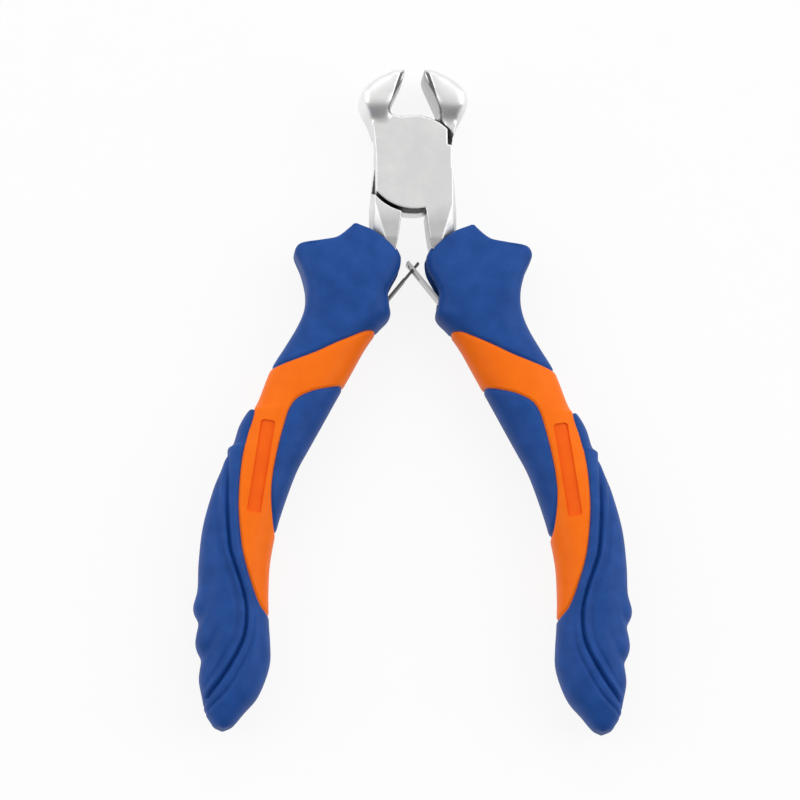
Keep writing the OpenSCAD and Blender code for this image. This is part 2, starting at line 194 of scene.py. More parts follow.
# %% Surround, darker on the handles' side
SURROUND, DARK_SIDE = 0.75, 0.32
world = bpy.data.worlds.new("studio_surround")
world.use_nodes = True
sky = world.node_tree
direction = add_node(sky, "ShaderNodeTexCoord")
split = add_node(sky, "ShaderNodeSeparateXYZ")
sky.links.new(direction.outputs["Generated"], split.inputs["Vector"])
turn = add_node(sky, "ShaderNodeMapRange")
turn.inputs["From Min"].default_value = -1
sky.links.new(split.outputs["Y"], turn.inputs["Value"])
fade = ramp(sky, turn.outputs["Result"], (DARK_SIDE, DARK_SIDE, DARK_SIDE), (1, 1, 1), 0.1, 0.6)
sky.links.new(fade, sky.nodes["Background"].inputs["Color"])
sky.nodes["Background"].inputs["Strength"].default_value = SURROUND
scene.world = world
scene.view_settings.view_transform = "Standard"

# %% Lamps
LAMPS = {
    "right_lamp": dict(place=(0.75, 0.05, 0.55), size=0.7, power=3.0),
    "left_lamp": dict(place=(-0.75, 0.05, 0.55), size=0.7, power=2.2),
    "back_lamp": dict(place=(0.0, 0.7, 0.6), size=0.6, power=1.25),
}
for lamp_name, lamp in LAMPS.items():
    lamp_data = bpy.data.lights.new(lamp_name, "AREA")
    lamp_data.size = lamp["size"]
    lamp_data.energy = lamp["power"]
    lamp_object = bpy.data.objects.new(lamp_name, lamp_data)
    lamp_object.location = lamp["place"]
    aim = target - lamp_object.location
    lamp_object.rotation_euler = aim.to_track_quat("-Z", "Y").to_euler()
    scene.collection.objects.link(lamp_object)
print(f"{len(LAMPS)} lamps, surround {SURROUND}")

# %% [markdown]
# ## Finishes
# The steel is forged, then ground and brushed, so it is bright but not mirror-like, with fine lines across
# the tool. Its base colour is painted lighter on the jaws, a painted reflection of the bright surround, and
# darker on the tangs. The jaws' inner walls, where they face each other, are painted darker grey as painted
# shade, and the lap of the joint and the plates' rims near black, as painted shade of the gaps between the
# halves. The soft blue plastic is matt with a fine moulded grain. The hard orange plastic is smoother, and
# painted darker in the sunk panels, as painted shade. Every finish is a procedural material, so it holds at
# any zoom.

# %% Brushed steel
PAINTED_TONE_PLACES = (-10.5, -7.5, 7.6, 9.4)


def brushed_steel(name, tang, plate, jaw, rough_low, rough_high, grain):
    """Metal with tone patches and fine brushed lines, in three grey tones from the tangs to the jaws."""
    material, tree, shader = new_material(name)
    shader.inputs["Metallic"].default_value = 1
    place = add_node(tree, "ShaderNodeTexCoord")
    patches = add_node(tree, "ShaderNodeTexNoise", Scale=200, Detail=5, Roughness=0.65)
    tree.links.new(place.outputs["Object"], patches.inputs["Vector"])
    height = add_node(tree, "ShaderNodeSeparateXYZ")
    tree.links.new(place.outputs["Object"], height.inputs["Vector"])
    along = add_node(tree, "ShaderNodeMapRange")
    along.inputs["From Min"].default_value = PAINTED_TONE_PLACES[0] * MM
    along.inputs["From Max"].default_value = PAINTED_TONE_PLACES[-1] * MM
    tree.links.new(height.outputs["Y"], along.inputs["Value"])
    # Grey steps along the tool: with the forged steel's tones, the jaws are painted lighter as a painted
    # reflection and the tangs are darker.
    tones = add_node(tree, "ShaderNodeValToRGB")
    stops = tones.color_ramp.elements
    for position in PAINTED_TONE_PLACES[1:-1]:
        share_along = (position - PAINTED_TONE_PLACES[0]) / (PAINTED_TONE_PLACES[-1] - PAINTED_TONE_PLACES[0])
        stops.new(share_along).color = (plate, plate, plate, 1)
    stops[0].color = (tang, tang, tang, 1)
    stops[-1].color = (jaw, jaw, jaw, 1)
    tree.links.new(along.outputs["Result"], tones.inputs["Fac"])
    colour = add_node(tree, "ShaderNodeMix", data_type="RGBA", blend_type="MULTIPLY", Factor=1)
    tree.links.new(ramp(tree, patches.outputs["Fac"], (0.88, 0.88, 0.88), (1, 1, 0.99)), colour.inputs["A"])
    tree.links.new(tones.outputs["Color"], colour.inputs["B"])
    tree.links.new(colour.outputs["Result"], shader.inputs["Base Color"])
    stretch = add_node(tree, "ShaderNodeMapping", Scale=(0.06, 1, 0.6))
    tree.links.new(place.outputs["Object"], stretch.inputs["Vector"])
    lines = add_node(tree, "ShaderNodeTexNoise", Scale=9000, Detail=2)
    tree.links.new(stretch.outputs["Vector"], lines.inputs["Vector"])
    span = add_node(tree, "ShaderNodeMapRange")
    span.inputs["To Min"].default_value = rough_low
    span.inputs["To Max"].default_value = rough_high
    tree.links.new(lines.outputs["Fac"], span.inputs["Value"])
    tree.links.new(span.outputs["Result"], shader.inputs["Roughness"])
    bump = add_node(tree, "ShaderNodeBump", Strength=grain, Distance=0.02 * MM)
    tree.links.new(lines.outputs["Fac"], bump.inputs["Height"])
    tree.links.new(bump.outputs["Normal"], shader.inputs["Normal"])
    return material


# Forged steel: the jaw tone above the plate's is a painted reflection, and the tangs are darker.
FORGED_STEEL = brushed_steel("forged_steel", 0.63, 0.84, 0.97, 0.34, 0.50, 0.25)
# Darker grey for the jaws' inner walls, where they face each other: painted shade.
SHADED_WALL_STEEL = brushed_steel("shaded_wall_steel", 0.55, 0.55, 0.55, 0.30, 0.46, 0.25)
# Near black for the lap and the plates' rims: painted shade of the gaps between the halves.
GAP_SHADE_STEEL = brushed_steel("gap_shade_steel", 0.08, 0.08, 0.08, 0.5, 0.7, 0.3)
LIGHT_LEAF = brushed_steel("light_leaf", 0.56, 0.56, 0.56, 0.28, 0.42, 0.2)
# Dark grey for the left leaf: painted shade, on the same steel as the bright right leaf.
SHADED_LEAF = brushed_steel("shaded_leaf", 0.11, 0.11, 0.11, 0.35, 0.5, 0.2)

# %% Moulded plastics
ROUGH_SPAN = 0.06


def moulded_plastic(name, dark, light, gloss, roughness, grain_scale, grain):
    """Plastic with slight tone patches and a fine moulded grain."""
    material, tree, shader = new_material(name)
    shader.inputs["Specular IOR Level"].default_value = gloss
    place = add_node(tree, "ShaderNodeTexCoord")
    patches = add_node(tree, "ShaderNodeTexNoise", Scale=320, Detail=4)
    tree.links.new(place.outputs["Object"], patches.inputs["Vector"])
    tree.links.new(ramp(tree, patches.outputs["Fac"], dark, light), shader.inputs["Base Color"])
    fine = add_node(tree, "ShaderNodeTexNoise", Scale=grain_scale, Detail=2)
    tree.links.new(place.outputs["Object"], fine.inputs["Vector"])
    span = add_node(tree, "ShaderNodeMapRange")
    span.inputs["To Min"].default_value = roughness - ROUGH_SPAN
    span.inputs["To Max"].default_value = roughness + ROUGH_SPAN
    tree.links.new(fine.outputs["Fac"], span.inputs["Value"])
    tree.links.new(span.outputs["Result"], shader.inputs["Roughness"])
    bump = add_node(tree, "ShaderNodeBump", Strength=grain, Distance=0.03 * MM)
    tree.links.new(fine.outputs["Fac"], bump.inputs["Height"])
    tree.links.new(bump.outputs["Normal"], shader.inputs["Normal"])
    return material


SOFT_BLUE = moulded_plastic(
    "soft_blue", (0.006, 0.055, 0.25), (0.013, 0.075, 0.32), 0.2, 0.55, 4200, 0.3
)
HARD_ORANGE = moulded_plastic(
    "hard_orange", (0.95, 0.162, 0.004), (0.99, 0.182, 0.005), 0.12, 0.45, 6000, 0.12
)
# Darker orange for the sunk panels: painted shade in the recess.
SHADED_PANEL_ORANGE = moulded_plastic(
    "shaded_panel_orange", (0.91, 0.118, 0.004), (0.95, 0.135, 0.005), 0.12, 0.45, 6000, 0.12
)
print("finishes:", ", ".join(material.name for material in bpy.data.materials))

# %% [markdown]
# ## The grip's form
# A grip swells and narrows all the way down: a pointed top, a guard, an inner bulge for the finger, a
# waist, then the palm swell with scallops. It is a loft: each row gives the distance below the pivot, the
# inner and outer edges, and half the thickness, and a smooth curve runs through the rows. The CAD solids
# are lofts through rows much like these, so the dressed grip keeps their size.

# %% Smooth curves and soft steps
def smooth(points, steps):
    """Points on a curve that passes through all the given ones."""
    given = np.asarray(points, float)
    padded = np.vstack([given[:1], given, given[-1:]])
    t = np.linspace(0, 1, steps, endpoint=False)[:, None]
    spans = [
        0.5 * (2 * b + (c - a) * t + (2 * a - 5 * b + 4 * c - d) * t**2 + (3 * b - a - 3 * c + d) * t**3)
        for a, b, c, d in zip(padded, padded[1:], padded[2:], padded[3:])
    ]
    return np.vstack(spans + [given[-1:]])


def ease(values):
    """A soft step from 0 to 1."""
    values = np.clip(values, 0, 1)
    return values * values * (3 - 2 * values)


# %% Rows of the grip
GRIP_HALF, ROW_STEPS, ROW_PITCH = 5.58, 16, 0.19
PALM_X = 36.2
SCALLOP_TOP, SCALLOP_PITCH, SCALLOP_OUT, SCALLOP_IN = 76, 6.1, 0.4, -0.05
SWELL = [
    (24.2, 0.2, 0), (24.1, 0, 0), (23.9, -0.2, -0.1),
    (23.9, -0.5, -0.3), (24.7, -0.8, -0.6), (26.1, -0.9, -1.1),
]
guard_rows = [
    (10.8, 9.4, 10.3, -1.2), (11.6, 7, 11.3, -1.1), (12.4, 5.6, 12.3, -1), (13.1, 4.6, 13.7, -0.93),
    (13.6, 3.9, 16.6, -0.86), (14, 3.4, 19.1, -0.8), (14.7, 2.8, 19.85, -0.7), (15.6, 2.3, 20, -0.56),
    (16.5, 2.1, 19.7, -0.43), (18.3, 2.4, 18.9, -0.22), (20.4, 3.5, 18.3, -0.1), (22.2, 4.25, 18.05, -0.1),
    (24.2, 4.05, 18.15, -0.15), (26.2, 3.95, 18.7, -0.25), (28.5, 5.9, 19.8, -0.3),
]
waist_rows = [
    (31.5, 8, 21.6, -0.4), (35.5, 10.2, 24, -0.4), (41.3, 13.4, 26.3, -0.4), (42.6, 14.1, 27.8, -0.4),
    (45, 15.4, 29.2, -0.4), (48.1, 17.1, PALM_X - 6, -0.3), (49.2, 17.7, PALM_X - 4.9, -0.3),
    (52, 19.2, PALM_X - 4.2, -0.2), (55.8, 20.7, PALM_X - 2.7, -0.2), (62, 22.7, PALM_X - 1, -0.1),
    (68, 23.9, PALM_X - 0.3, 0), (72.8, 24.2, PALM_X - 0.1, 0),
]
scallop_rows = [
    (SCALLOP_TOP + k * SCALLOP_PITCH / 2, inner, PALM_X + reach + (SCALLOP_OUT, SCALLOP_IN)[k % 2], thin)
    for k, (inner, reach, thin) in enumerate(SWELL)
]
tail_rows = [
    (93.6, 28.1, PALM_X - 1.4, -1.9), (95.2, 29.4, PALM_X - 2.3, -2.6),
    (96.05, 30.2, PALM_X - 2.9, -3.2), (96.42, 31, PALM_X - 3.7, -3.6),
]
grip_rows = smooth(guard_rows + waist_rows + scallop_rows + tail_rows, ROW_STEPS)
grip_rows[:, 3] += GRIP_HALF

steps_along = np.abs(np.diff(grip_rows, axis=0)).max(axis=1)
along = np.concatenate([[0], np.cumsum(steps_along)])
even = np.linspace(0, along[-1], int(along[-1] / ROW_PITCH))
grip_rows = np.column_stack([np.interp(even, along, column) for column in grip_rows.T])
print(f"{len(grip_rows)} rows down the grip")

# %% Sections, square at the collar and rounder at the palm
SIDES, FINE_SIDES, MEAN_REACH = 240, 4000, 7
COLLAR_SQUARE, PALM_SQUARE = 5.5, 2.5
SQUARE_ABOVE, ROUND_BELOW = 19, 30


def squareness(distance):
    """How square the section is at a distance below the pivot: 2 is round, and more is squarer."""
    share = ease((ROUND_BELOW - distance) / (ROUND_BELOW - SQUARE_ABOVE))
    return PALM_SQUARE + (COLLAR_SQUARE - PALM_SQUARE) * share


def squared(values, power):
    """Cosines or sines pushed out, so that a circle becomes a rounded square."""
    return np.sign(values) * np.abs(values) ** (2 / power)


fine_angles = np.linspace(0, 2 * np.pi, FINE_SIDES + 1)
section = np.column_stack([
    MEAN_REACH * squared(np.cos(fine_angles), PALM_SQUARE),
    GRIP_HALF * squared(np.sin(fine_angles), PALM_SQUARE),
])
round_section = np.concatenate([[0], np.cumsum(np.linalg.norm(np.diff(section, axis=0), axis=1))])
angles = np.interp((np.arange(SIDES) + 0.5) / SIDES * round_section[-1], round_section, fine_angles)


def loft(rows):
    """Points of a tube through the rows, one ring for each row, with its middle plane at Z 0."""
    middle = (rows[:, 1:2] + rows[:, 2:3]) / 2
    reach = (rows[:, 2:3] - rows[:, 1:2]) / 2
    power = squareness(rows[:, 0:1])
    x = middle + reach * squared(np.cos(angles), power)
    y = np.broadcast_to(-rows[:, 0:1], x.shape)
    z = rows[:, 3:4] * squared(np.sin(angles), power)
    return np.stack([x, y, z], axis=-1)


grip = loft(grip_rows)
round_step = np.roll(grip, -1, axis=1) - np.roll(grip, 1, axis=1)
down_step = np.gradient(grip, axis=0)
grip_normals = np.cross(round_step, down_step)
grip_normals /= np.maximum(np.linalg.norm(grip_normals, axis=-1, keepdims=True), 1e-9)
print(f"grip surface of {grip.shape[0]} by {grip.shape[1]} points")

# %% [markdown]
# ## Where the colours meet
# The mould fills the orange core first, then the blue goes into three pockets: the collar with the guard,
# the finger pad inside, and the palm pad round the outside and the end. Each boundary is a curve drawn on
# the face. A signed distance, positive inside the blue, tells every point how far it is from the nearest
# boundary, and that one number later cuts the pieces apart and shapes the groove between them.

# %% Boundary curves and signed distances
COLLAR_EDGE = [
    (2, -28.6), (6.7, -29), (8.2, -29.3), (10.2, -30.1), (13.3, -31.4), (17.3, -33.2), (22.4, -34.8),
    (27, -35.8),
]
PAD_EDGE = [
    (8, -37.7), (11.7, -38.4), (14.5, -39), (17.3, -39.7), (19.7, -40.9), (21, -42.7), (21.9, -45.4),
    (22.8, -49), (23.6, -53.2), (23.9, -57), (23.5, -61.1), (22.8, -64), (21, -68),
]
PALM_EDGE = [
    (30, -38.6), (27.2, -41), (27.1, -43.7), (28.2, -47.4), (29.1, -52), (29.5, -57.5),
    (29.4, -61.5), (28.8, -66.8), (27.5, -71.5), (25.9, -75.5), (24.3, -77.3), (21, -80),
]
FAR_X, FAR_Y, LEFT_X = 80, -130, -20
CURVE_STEPS = 6


def closed_zone(edge, *corners, first_x=LEFT_X, last_x=LEFT_X):
    """A zone's outline: its curved boundary, closed by level lines and corners outside the grip."""
    curve = smooth(edge, CURVE_STEPS)
    return np.array([*curve, (last_x, edge[-1][1]), *corners, (first_x, edge[0][1])])


ZONES = {
    "collar": closed_zone(COLLAR_EDGE, (FAR_X, 0), (LEFT_X, 0), last_x=FAR_X),
    "finger_pad": closed_zone(PAD_EDGE),
    "palm_pad": closed_zone(PALM_EDGE, (LEFT_X, FAR_Y), (FAR_X, FAR_Y), first_x=FAR_X),
}


def distance_to_line(points, line, weights=None, width=None):
    """Distance of each point from a chain of straight pieces, or a weighted soft ridge along it."""
    best = np.full(len(points), np.inf if width is None else 0.0)
    for k, (a, b) in enumerate(zip(line, line[1:])):
        run = b - a
        t = np.clip((points - a) @ run / max(run @ run, 1e-12), 0, 1)
        gap = np.linalg.norm(points - a - t[:, None] * run, axis=1)
        if width is None:
            best = np.minimum(best, gap)
        else:
            weight = weights[k] + t * (weights[k + 1] - weights[k])
            best = np.maximum(best, weight * np.exp(-((gap / width) ** 2)))
    return best


def inside(points, outline):
    """Whether each point is inside a closed outline."""
    odd = np.zeros(len(points), bool)
    for a, b in zip(outline, np.roll(outline, -1, axis=0)):
        spans = (a[1] > points[:, 1]) != (b[1] > points[:, 1])
        reach = a[0] + (points[:, 1] - a[1]) / np.where(a[1] == b[1], 1, b[1] - a[1]) * (b[0] - a[0])
        odd ^= spans & (points[:, 0] < reach)
    return odd


def signed_distance(points, outline):
    """Distance from a closed outline, positive inside it."""
    outline = np.asarray(outline, float)
    gap = distance_to_line(points, np.vstack([outline, outline[:1]]))
    return np.where(inside(points, outline), gap, -gap)


def zone_distances(points):
    """Signed distance of each point from each of the three blue zones, side by side."""
    return np.column_stack([signed_distance(points, outline) for outline in ZONES.values()])


flat_points = grip.reshape(-1, 3)
zone_gaps = zone_distances(flat_points[:, :2])
print({name: int((zone_gaps[:, k] > 0).sum()) for k, name in enumerate(ZONES)}, "points in the blue zones")

# %% [markdown]
# ## Cutting the surface along the curves
# Choosing whole faces by colour would leave a stair-stepped edge. Instead every face that a boundary
# crosses is cut in two exactly where the signed distance is zero, and the new points are shared by both
# sides. The cut edges are kept, because each piece needs a wall there to become a closed solid.

# %% Cut the tube
SNAP = 0.02
blue_gap = zone_gaps.max(axis=1)
blue_gap = np.where(np.abs(blue_gap) < SNAP, np.copysign(SNAP, blue_gap), blue_gap)
point_zone = zone_gaps.argmax(axis=1)
ring_count, side_count = grip.shape[:2]
grid_count = ring_count * side_count
TOP_CENTRE, END_CENTRE = grid_count, grid_count + 1

blue_faces = {k: [] for k in range(len(ZONES))}
orange_faces = []
cut_edges = {k: [] for k in range(len(ZONES))}
cut_points = {}


def cut_point(p, q):
    """The number of the point where a boundary crosses the edge between two points."""
    low, high = min(p, q), max(p, q)
    if (low, high) not in cut_points:
        share = blue_gap[low] / (blue_gap[low] - blue_gap[high])
        cut_points[low, high] = (grid_count + 2 + len(cut_points), share)
    return cut_points[low, high][0]


def cut_triangle(row, corners):
    """Cuts one triangle that a boundary crosses and files its two parts."""
    blue, orange = [], []
    for p, q in zip(corners, corners[1:] + corners[:1]):
        (blue if blue_gap[p] > 0 else orange).append(p)
        if (blue_gap[p] > 0) != (blue_gap[q] > 0):
            blue.append(cut_point(p, q))
            orange.append(cut_point(p, q))
    zone = int(point_zone[next(p for p in blue if p < grid_count)])
    blue_faces[zone].append((row, blue))
    orange_faces.append((row, orange))
    for p, q in zip(blue, blue[1:] + blue[:1]):
        if p > END_CENTRE and q > END_CENTRE:
            cut_edges[zone].append((p, q))


for row in range(ring_count - 1):
    for side in range(side_count):
        after = (side + 1) % side_count
        quad = [row * side_count + side, row * side_count + after]
        quad += [quad[1] + side_count, quad[0] + side_count]
        blue_corners = sum(blue_gap[p] > 0 for p in quad)
        if blue_corners == 4:
            blue_faces[int(point_zone[quad[0]])].append((row, quad))
        elif blue_corners == 0:
            orange_faces.append((row, quad))
        else:
            for corners in ([quad[0], quad[1], quad[2]], [quad[0], quad[2], quad[3]]):
                blue_triangle = sum(blue_gap[p] > 0 for p in corners)
                if blue_triangle == 3:
                    blue_faces[int(point_zone[corners[0]])].append((row, corners))
                elif blue_triangle == 0:
                    orange_faces.append((row, corners))
                else:
                    cut_triangle(row, corners)
print(f"{len(cut_points)} points on the boundaries, {len(orange_faces)} orange faces")

# %% [markdown]
# ## Relief of the face
# The blue stands a little proud of the orange and both round off into a fine groove where they meet. The
# collar has a soft fold from the guard to the inner side, and its guard leans outwards. The palm pad has a
# deep crease that starts at a step on the outer edge and sweeps down to the end. Outside it runs a rolled
# edge, inside it a rounded band with a thin rib along its lower half, and shallow valleys come in from the
# dips between the scallops. All of it is one height, in millimetres, added along the surface. What stands
# proud fades out towards the sides, so that the outline keeps the size that the frame gives it.

# %% Where the relief runs
GROOVE_DEPTH, GROOVE_WIDTH = 0.32, 0.22
BLUE_PROUD, BLUE_ROUND = 0.1, 0.9
CREASE = [
    (33.4, -48.1, 0.35), (31.9, -48.6, 0.45), (31.4, -50, 0.55), (31.4, -55, 0.6), (31.4, -60, 0.65),
    (31, -66, 0.7), (30.3, -68.8, 0.7), (28.8, -73.4, 0.7), (28.1, -77.3, 0.7), (28.6, -81.8, 0.7),
    (30.7, -86.1, 0.7), (32.8, -89.3, 0.65), (34.6, -91.6, 0.5),
]
CREASE_WIDTH = 0.27
ROLL_HEIGHT, ROLL_PLACE, ROLL_WIDTH = 0.3, 0.66, 0.4
DIP_HEIGHT, DIP_PLACE, DIP_WIDTH = -0.3, 1.5, 0.4
BAND_HEIGHT, BAND_ROUND = 0.24, 1
RIB_CREASE = [
    (27.5, -74.6, 0), (26.95, -78.8, 0.2), (27.3, -83, 0.34), (29.4, -87.5, 0.36), (31.6, -90.9, 0.36),
    (34.2, -93.4, 0.3),
]
RIB_WIDTH = 0.28
VALLEYS = [
    [(36.6, -79.2, 0.1), (35.6, -77.6, 0.4), (34.8, -74.4, 0.25), (34.2, -71, 0)],
    [(36, -85.3, 0.1), (34.6, -83.6, 0.4), (33.2, -81.2, 0.25), (32.1, -79, 0)],
]
VALLEY_WIDTH = 0.85
NOTCHES = [
    [(36.2, -92.9, 0.25), (34.2, -92.5, 0)],
    [(35.8, -94, 0.25), (33.8, -93.6, 0)],
]
NOTCH_WIDTH = 0.3
DEEPEST = 0.95
FOLD = [(15, -15.2, 0), (13, -17, 0.14), (10.8, -19.6, 0.2), (9.2, -22.2, 0.14), (8, -25, 0)]
FOLD_WIDTH = 1.5
GUARD_FALL, GUARD_IN, GUARD_RUN, GUARD_FOOT, GUARD_FADE = 0.7, 12, 8, -20.5, 4


# %% Heights added to the surface
def bell(values, place, width):
    """A soft bump of height 1 about a place."""
    return np.exp(-(((values - place) / width) ** 2))


def dent(points, chain, width):
    """Depth of a soft groove along a curve whose points also give its depth."""
    curve = smooth(chain, CURVE_STEPS)
    return distance_to_line(points, curve[:, :2], curve[:, 2], width)


def relief(points, facing):
    """Height to add along the surface at each place, given how much the surface faces up or down."""
    gaps = zone_distances(points)
    nearest = gaps.max(axis=1)
    proud = BLUE_PROUD * ease(nearest / BLUE_ROUND)
    sunk = GROOVE_DEPTH * bell(nearest, 0, GROOVE_WIDTH)

    leaning = ease((points[:, 0] - GUARD_IN) / GUARD_RUN) * ease((points[:, 1] - GUARD_FOOT) / GUARD_FADE)
    collar_gap = gaps[:, list(ZONES).index("collar")]
    proud += np.where(collar_gap > 0, dent(points, FOLD, FOLD_WIDTH) - GUARD_FALL * leaning, 0)

    palm_gap = gaps[:, list(ZONES).index("palm_pad")]
    crease_ends = [(FAR_X, CREASE[-1][1]), (FAR_X, CREASE[0][1])]
    cushion = [*smooth(CREASE, CURVE_STEPS)[:, :2], *crease_ends]
    from_crease = signed_distance(points, cushion)
    rolled = ROLL_HEIGHT * bell(from_crease, ROLL_PLACE, ROLL_WIDTH)
    rolled += DIP_HEIGHT * bell(from_crease, DIP_PLACE, DIP_WIDTH)
    banded = BAND_HEIGHT * ease(np.minimum(-from_crease, palm_gap) / BAND_ROUND)
    proud += np.where(palm_gap > 0, np.where(from_crease > 0, rolled, banded), 0)

    marks = dent(points, CREASE, CREASE_WIDTH) + dent(points, RIB_CREASE, RIB_WIDTH)
    for valley in VALLEYS:
        marks += dent(points, valley, VALLEY_WIDTH)
    for notch in NOTCHES:
        marks += dent(points, notch, NOTCH_WIDTH)
    sunk += np.where(palm_gap > 0, marks, 0)
    return proud * facing**2 - np.minimum(sunk, DEEPEST)


# %% Points of the outer skin and of the two skins under it
COVER, SEAM = 1.2, 0.05
COLLAR_COVER, COLLAR_FADE, CORE_TOP, CORE_END = 3.0, 2, 27, 93.4
END_COVER, TOP_SQUEEZE, END_SQUEEZE = 1.5, 4, 90
LEAST_SHARE = 0.2


def inset_rows(depth):
    """The grip's rows drawn in by a depth, which may change from row to row."""
    rows = grip_rows.copy()
    reach = (rows[:, 2] - rows[:, 1]) / 2
    middle = (rows[:, 2] + rows[:, 1]) / 2
    inner_reach = np.maximum(reach - depth, LEAST_SHARE * reach)
    rows[:, 1], rows[:, 2] = middle - inner_reach, middle + inner_reach
    rows[:, 3] = np.maximum(rows[:, 3] - depth, LEAST_SHARE * rows[:, 3])
    top, end = grip_rows[0, 0], grip_rows[-1, 0]
    squeeze = 1 - END_COVER / (end - END_SQUEEZE)
    below = rows[:, 0]
    pushed_down = top + END_COVER + (below - top) * (1 - END_COVER / TOP_SQUEEZE)
    below = np.where(below < top + TOP_SQUEEZE, pushed_down, below)
    rows[:, 0] = np.where(below > END_SQUEEZE, END_SQUEEZE + (below - END_SQUEEZE) * squeeze, below)
    return rows


def with_extras(ring_points):
    """Ring points, the centres of the two end caps, and the points on the boundaries."""
    flat = ring_points.reshape(-1, 3)
    ends = np.array([ring_points[0].mean(axis=0), ring_points[-1].mean(axis=0)])
    pairs = np.array(list(cut_points))
    share = np.array([entry[1] for entry in cut_points.values()])[:, None]
    return np.vstack([flat, ends, flat[pairs[:, 0]] * (1 - share) + flat[pairs[:, 1]] * share])


collar_depth = COVER + (COLLAR_COVER - COVER) * ease((CORE_TOP - grip_rows[:, 0]) / COLLAR_FADE)
surface = with_extras(grip)
directions = with_extras(grip_normals)
heights = relief(surface[:, :2], directions[:, 2])
skin = surface + directions * heights[:, None]
under_cover = with_extras(loft(inset_rows(np.full(ring_count, COVER))))
under_collar = with_extras(loft(inset_rows(collar_depth)))
core_skin = with_extras(loft(inset_rows(np.full(ring_count, COVER + SEAM))))
print(f"relief from {heights.min():.2f} to {heights.max():.2f} mm")

# %% [markdown]
# ## Closed pieces
# Each blue piece is a shell: the outer skin, the skin under it turned inside out, and a wall along the cut
# edges. The core is one body: the orange band at the surface, the sunk seats under the blue, and the same
# walls between them. The fine grid is needed only along creases, so each piece is thinned before the tang's
# socket and the room for the leaf spring are cut out of it, as the steel would be set in the mould. A cut
# leaves wide faces with many corners, so each piece is then welded and split into triangles, which other
# programs read without holes.

# %% Mesh helpers
WELD = 0.001


def mesh_piece(name, points, faces, material):
    """An object from points in millimetres, with unused points left out."""
    used = np.unique(np.concatenate([np.asarray(face) for face in faces]))
    place = {old: new for new, old in enumerate(used)}
    mesh = bpy.data.meshes.new(name)
    placed = (points[used] + np.array([0, 0, MID_Z])) * MM
    mesh.from_pydata(placed.tolist(), [], [[place[p] for p in face] for face in faces])
    mesh.validate()
    mesh.materials.append(material)
    piece = bpy.data.objects.new(name, mesh)
    scene.collection.objects.link(piece)
    return piece


def apply_modifiers(piece):
    """Replaces a piece's mesh by what its modifiers make of it."""
    graph = bpy.context.evaluated_depsgraph_get()
    made = bpy.data.meshes.new_from_object(piece.evaluated_get(graph))
    piece.modifiers.clear()
    piece.data = made


def thin_out(piece, share):
    """Keeps only a share of the faces, the ones that carry the shape."""
    thin = piece.modifiers.new("thin", "DECIMATE")
    thin.ratio = share
    apply_modifiers(piece)


def cut_with(piece, *cutters, finish="INDEX"):
    """Cuts the cutters' solids out of a piece; with TRANSFER the cut walls take the cutter's finish."""
    for cutter in cutters:
        cut = piece.modifiers.new("cut", "BOOLEAN")
        cut.operation = "DIFFERENCE"
        cut.solver = "EXACT"
        cut.material_mode = finish
        cut.object = cutter
    apply_modifiers(piece)


def close_up(piece):
    """Welds points that cuts left on top of each other, splits faces and drops edges without a face."""
    shape = bmesh.new()
    shape.from_mesh(piece.data)
    bmesh.ops.remove_doubles(shape, verts=shape.verts, dist=WELD * MM)
    bmesh.ops.dissolve_degenerate(shape, edges=shape.edges, dist=WELD * MM)
    bmesh.ops.triangulate(shape, faces=shape.faces)
    bare_edges = [edge for edge in shape.edges if not edge.link_faces]
    bmesh.ops.delete(shape, geom=bare_edges, context="EDGES")
    open_edges = sum(len(edge.link_faces) != 2 for edge in shape.edges)
    print(f"{piece.name}: {len(shape.faces)} triangles, {open_edges} open edges")
    shape.to_mesh(piece.data)
    shape.free()


def shade(piece, sharp_angle):
    """Smooth shading, with edges sharper than the angle kept crisp."""
    piece.data.shade_smooth()
    piece.data.set_sharp_from_angle(angle=math.radians(sharp_angle))


def prism(name, outline, low, high):
    """A straight prism between two heights above the middle plane, from an outline in millimetres."""
    count = len(outline)
    outline = np.asarray(outline, float)
    points = np.vstack([np.column_stack([outline, np.full(count, z)]) for z in (low, high)])
    area = np.sum(outline[:, 0] * np.roll(outline[:, 1], -1) - outline[:, 1] * np.roll(outline[:, 0], -1))
    order = list(range(count)) if area > 0 else list(range(count))[::-1]
    faces = [order[::-1], [p + count for p in order]]
    faces += [(a, b, b + count, a + count) for a, b in zip(order, order[1:] + order[:1])]
    return mesh_piece(name, points, faces, FORGED_STEEL)


# %% Prisms for the tang's socket and the spring's room
TANG_ROWS = [
    (0, 0, 6.4), (4, 1.5, 6.9), (8, 2, 7.4), (12.5, 2.6, 7.5), (16, 3.4, 8.4), (20, 4.5, 9.5),
    (24, 5.8, 11.1), (28, 7.9, 13.5), (34, 12, 17.7), (42, 17.2, 22.6), (50, 22, 27), (60, 26.4, 30.8),
    (70, 28.8, 32.5), (76, 29.6, 32.6),
]
TANG_HALF, SOCKET_CLEAR, SPRING_ROOM = 3.2, 0.1, 2.3
ROOM_FOOT, ROOM_EXIT, ROOM_OVERLAP = (5.9, -26.5), (3.6, -24), 0.5
TANG_STEPS, MOUTH_END = 4, 17
tang_curve = smooth(TANG_ROWS, TANG_STEPS)
tang_inner = np.column_stack([tang_curve[:, 1] - SOCKET_CLEAR, -tang_curve[:, 0]])
tang_outer = np.column_stack([tang_curve[:, 2] + SOCKET_CLEAR, -tang_curve[:, 0]])
socket_half = TANG_HALF + SOCKET_CLEAR
socket_end = np.array([tang_inner[-1], tang_outer[-1]]) - np.array([0, SOCKET_CLEAR])
socket_outline = np.vstack([tang_inner, socket_end, tang_outer[::-1]])
socket = prism("socket_cutter", socket_outline, -socket_half, socket_half)
wide = tang_curve[:, 0] < MOUTH_END
mouth_outline = np.vstack([tang_inner[wide], tang_outer[wide][::-1]])
